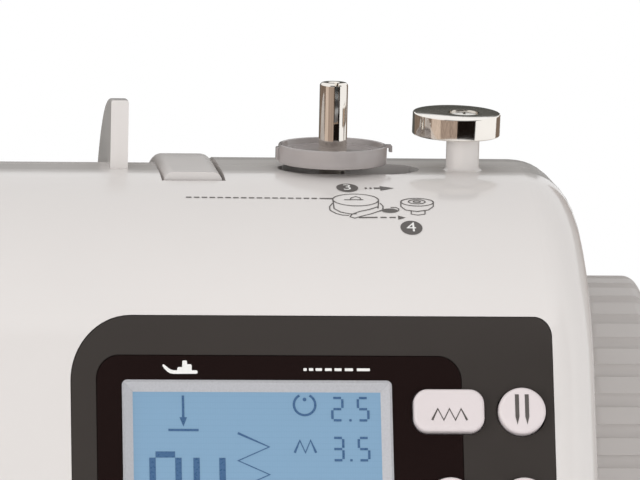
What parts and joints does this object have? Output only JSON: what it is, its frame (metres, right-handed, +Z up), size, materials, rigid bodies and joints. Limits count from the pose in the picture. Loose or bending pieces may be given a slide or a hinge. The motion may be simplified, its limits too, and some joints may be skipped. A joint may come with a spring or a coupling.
{
  "type": "sewing machine",
  "caption": "Free-arm household sewing machine with display panel, bobbin winder, folding carry handle, drop-in bobbin, presser foot and removable extension table.",
  "frame": {"origin": "middle of the footprint, on the surface that the feet stand on", "axes": "+X to the handwheel side, +Y to the back, +Z up"},
  "size_m": [0.414, 0.1594, 0.3004],
  "materials": {
    "white_shell": "glossy off-white moulded plastic",
    "handle_white": "satin off-white moulded plastic",
    "panel_grey": "dark warm-grey printed panel film",
    "window_black": "glossy black window",
    "bezel_grey": "pale grey bezel",
    "display_blue": "pale blue display",
    "key_white": "satin white keys",
    "start_green": "satin green key",
    "dish_grey": "mid-grey moulded plastic",
    "wheel_grey": "pale grey handwheel",
    "base_grey": "grey base moulding",
    "chrome": "bright plated steel",
    "steel": "ground steel",
    "casting": "as-cast alloy",
    "bronze": "sintered bronze",
    "rubber": "black rubber",
    "motor_black": "black painted can",
    "board_green": "green board",
    "black_plastic": "black moulded plastic",
    "clear_plastic": "clear moulded plastic",
    "lamp_lens": "frosted white lens"
  },
  "bodies": {
    "root": {"base_tray": "base_grey", "bobbin_holder": "black_plastic", "control_panel": "panel_grey", "display_window": "window_black", "drive_belts": "rubber", "face_cover": "white_shell", "free_arm_cover": "white_shell", "front_cover": "white_shell", "lamp": "lamp_lens", "lcd_bezel": "bezel_grey", "lcd_screen": "display_blue", "main_board": "board_green", "main_frame": "casting", "motor": "motor_black", "needle_plate": "steel", "needle_plate_screws": "steel", "power_inlet": "black_plastic", "rear_cover": "white_shell", "rubber_feet": "rubber", "shaft_bushes": "bronze", "spool_plate": "white_shell", "stopper_screw": "chrome", "thread_guides": "chrome", "tray_screws": "steel"},
    "main_shaft": {"handwheel": "wheel_grey", "main_shaft": "steel"},
    "lower_shaft": {"lower_shaft": "steel"},
    "hook": {"hook": "steel"},
    "motor_rotor": {"motor_rotor": "steel"},
    "winder_arm": {"winder_arm": "steel"},
    "winder_spindle": {"winder_spindle": "chrome", "winder_dish": "dish_grey", "winder_tyre": "rubber"},
    "bobbin_stopper": {"bobbin_stopper": "chrome"},
    "carry_handle": {"carry_handle": "handle_white"},
    "spool_pin": {"spool_pin": "dish_grey"},
    "spool_cap": {"spool_cap": "dish_grey"},
    "needle_bar": {"needle_bar": "chrome", "needle_clamp": "chrome", "needle": "chrome"},
    "take_up_lever": {"take_up_lever": "chrome"},
    "presser_lifter": {"presser_lifter": "dish_grey"},
    "presser_bar": {"presser_bar": "chrome"},
    "presser_foot": {"presser_foot": "chrome"},
    "feed_dog": {"feed_dog": "steel"},
    "drop_lever": {"drop_lever": "dish_grey"},
    "extension_table": {"extension_table": "white_shell"},
    "hook_cover": {"hook_cover": "clear_plastic"},
    "bobbin": {"bobbin": "clear_plastic"},
    "tension_dial": {"tension_dial": "dish_grey"},
    "speed_slider": {"speed_slider": "key_white"},
    "power_switch": {"power_switch": "black_plastic"},
    "wide_key": {"wide_key": "key_white"},
    "round_key": {"round_key": "key_white"},
    "width_key": {"width_key": "key_white"},
    "length_key": {"length_key": "key_white"},
    "start_key": {"start_key": "start_green"},
    "reverse_key": {"reverse_key": "key_white"},
    "needle_key": {"needle_key": "key_white"}
  },
  "joints": [
    {"name": "handwheel_turn", "type": "hinge", "parent": "root", "child": "main_shaft", "pos_m": [0, 0.008, 0.228], "axis": [1, 0, 0], "continuous": true},
    {"name": "lower_shaft_turn", "type": "hinge", "parent": "root", "child": "lower_shaft", "pos_m": [0, -0.0057, 0.03], "axis": [1, 0, 0], "continuous": true},
    {"name": "hook_turn", "type": "hinge", "parent": "root", "child": "hook", "pos_m": [-0.115, -0.028, 0.044], "axis": [0, 0, 1], "continuous": true},
    {"name": "motor_turn", "type": "hinge", "parent": "root", "child": "motor_rotor", "pos_m": [0, 0.044, 0.12], "axis": [1, 0, 0], "continuous": true},
    {"name": "winder_swing", "type": "hinge", "parent": "root", "child": "winder_arm", "pos_m": [0.141, -0.0203, 0.26], "axis": [0, 0, -1], "range_deg": [0, 13]},
    {"name": "winder_spin", "type": "hinge", "parent": "winder_arm", "child": "winder_spindle", "pos_m": [0.141, 0.0077, 0.282], "axis": [0, 0, 1], "continuous": true},
    {"name": "stopper_turn", "type": "hinge", "parent": "root", "child": "bobbin_stopper", "pos_m": [0.1687, 0.0077, 0.2889], "axis": [0, 0, 1], "range_deg": [-90, 90]},
    {"name": "handle_fold", "type": "hinge", "parent": "root", "child": "carry_handle", "pos_m": [0, 0.0037, 0.277], "axis": [1, 0, 0], "range_deg": [0, 100]},
    {"name": "spool_pin_lift", "type": "hinge", "parent": "root", "child": "spool_pin", "pos_m": [0.0888, 0.0317, 0.267], "axis": [0, 1, 0], "range_deg": [0, 45]},
    {"name": "spool_cap_slide", "type": "slide", "parent": "spool_pin", "child": "spool_cap", "axis": [-1, 0, 0], "range_m": [0, 0.02]},
    {"name": "needle_slide", "type": "slide", "parent": "root", "child": "needle_bar", "axis": [0, 0, -1], "range_m": [0, 0.03]},
    {"name": "take_up_swing", "type": "hinge", "parent": "root", "child": "take_up_lever", "pos_m": [-0.0995, -0.004, 0.242], "axis": [1, 0, 0], "range_deg": [0, 34]},
    {"name": "lifter_turn", "type": "hinge", "parent": "root", "child": "presser_lifter", "pos_m": [-0.115, 0.024, 0.152], "axis": [0, 1, 0], "range_deg": [0, 55]},
    {"name": "presser_slide", "type": "slide", "parent": "root", "child": "presser_bar", "axis": [0, 0, -1], "range_m": [0, 0.0063]},
    {"name": "foot_tilt", "type": "hinge", "parent": "presser_bar", "child": "presser_foot", "pos_m": [-0.115, 0.008, 0.091], "axis": [-1, 0, 0], "range_deg": [0, 10]},
    {"name": "drop_lever_slide", "type": "slide", "parent": "root", "child": "drop_lever", "axis": [1, 0, 0], "range_m": [0, 0.012]},
    {"name": "feed_drop", "type": "slide", "parent": "root", "child": "feed_dog", "axis": [0, 0, -1], "range_m": [0, 0.003]},
    {"name": "table_slide", "type": "slide", "parent": "root", "child": "extension_table", "axis": [-1, 0, 0], "range_m": [0, 0.14]},
    {"name": "hook_cover_lift", "type": "slide", "parent": "root", "child": "hook_cover", "axis": [0, 0, 1], "range_m": [0, 0.03]},
    {"name": "bobbin_spin", "type": "hinge", "parent": "root", "child": "bobbin", "pos_m": [-0.115, -0.028, 0.044], "axis": [0, 0, 1], "continuous": true},
    {"name": "tension_turn", "type": "hinge", "parent": "root", "child": "tension_dial", "pos_m": [-0.076, -0.02362, 0.25956], "axis": [1, 0, 0], "range_deg": [-120, 120]},
    {"name": "speed_slide", "type": "slide", "parent": "root", "child": "speed_slider", "axis": [1, 0, 0], "range_m": [0, 0.026]},
    {"name": "power_rock", "type": "hinge", "parent": "root", "child": "power_switch", "pos_m": [0.1856, -0.027, 0.084], "axis": [0, -1, 0], "range_deg": [0, 16]},
    {"name": "wide_key_press", "type": "slide", "parent": "root", "child": "wide_key", "axis": [0, 0.9135, -0.4067], "range_m": [0, 0.0012], "stiffness_N_per_m": 300, "springref_m": -0.002},
    {"name": "round_key_press", "type": "slide", "parent": "root", "child": "round_key", "axis": [0, 0.9135, -0.4067], "range_m": [0, 0.0012], "stiffness_N_per_m": 300, "springref_m": -0.002},
    {"name": "width_key_press", "type": "slide", "parent": "root", "child": "width_key", "axis": [0, 0.9135, -0.4067], "range_m": [0, 0.0012], "stiffness_N_per_m": 300, "springref_m": -0.002},
    {"name": "length_key_press", "type": "slide", "parent": "root", "child": "length_key", "axis": [0, 0.9135, -0.4067], "range_m": [0, 0.0012], "stiffness_N_per_m": 300, "springref_m": -0.002},
    {"name": "start_key_press", "type": "slide", "parent": "root", "child": "start_key", "axis": [0, 0.9135, -0.4067], "range_m": [0, 0.0012], "stiffness_N_per_m": 300, "springref_m": -0.002},
    {"name": "reverse_key_press", "type": "slide", "parent": "root", "child": "reverse_key", "axis": [0, 0.9135, -0.4067], "range_m": [0, 0.0012], "stiffness_N_per_m": 300, "springref_m": -0.002},
    {"name": "needle_key_press", "type": "slide", "parent": "root", "child": "needle_key", "axis": [0, 0.9135, -0.4067], "range_m": [0, 0.0012], "stiffness_N_per_m": 300, "springref_m": -0.002}
  ],
  "couplings": [
    {"joint": "lower_shaft_turn", "follows": "handwheel_turn", "ratio": 1},
    {"joint": "hook_turn", "follows": "handwheel_turn", "ratio": 2},
    {"joint": "motor_turn", "follows": "handwheel_turn", "ratio": 3},
    {"joint": "take_up_swing", "follows": "needle_slide", "rad_per_m": 19.778},
    {"joint": "presser_slide", "follows": "lifter_turn", "m_per_rad": 0.0062498},
    {"joint": "feed_drop", "follows": "drop_lever_slide", "ratio": 0.25}
  ]
}
